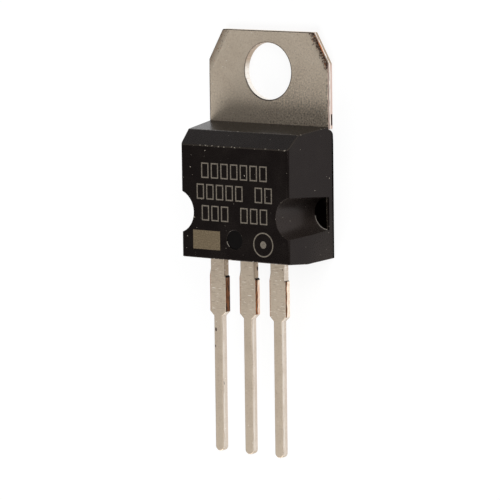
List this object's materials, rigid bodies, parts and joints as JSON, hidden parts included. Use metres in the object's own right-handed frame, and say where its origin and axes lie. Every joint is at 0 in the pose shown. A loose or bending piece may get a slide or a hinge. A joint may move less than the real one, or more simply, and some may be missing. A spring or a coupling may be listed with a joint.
{
  "type": "three-lead voltage regulator",
  "caption": "Flat power regulator with a drilled metal mounting tab, a black moulded body with side notches and straight leads.",
  "frame": {"origin": "centre of the mounting hole on the back face of the tab", "axes": "+X across the width, +Y along the part from the leads towards the tab, +Z out of the front face"},
  "size_m": [0.0102, 0.0289, 0.0045],
  "materials": {
    "epoxy_moulding": "black epoxy moulding, finely matt",
    "plated_copper": "stamped copper strip with matt tin plating, bare copper on the cut edges",
    "silicon": "sawn silicon",
    "solder": "soft solder",
    "bond_wire": "drawn aluminium wire"
  },
  "bodies": {
    "root": {"moulded_body": "epoxy_moulding", "heat_sink_and_centre_lead": "plated_copper", "left_lead": "plated_copper", "right_lead": "plated_copper", "die": "silicon", "die_solder": "solder", "left_bond_wire": "bond_wire", "right_bond_wire": "bond_wire"}
  },
  "joints": []
}
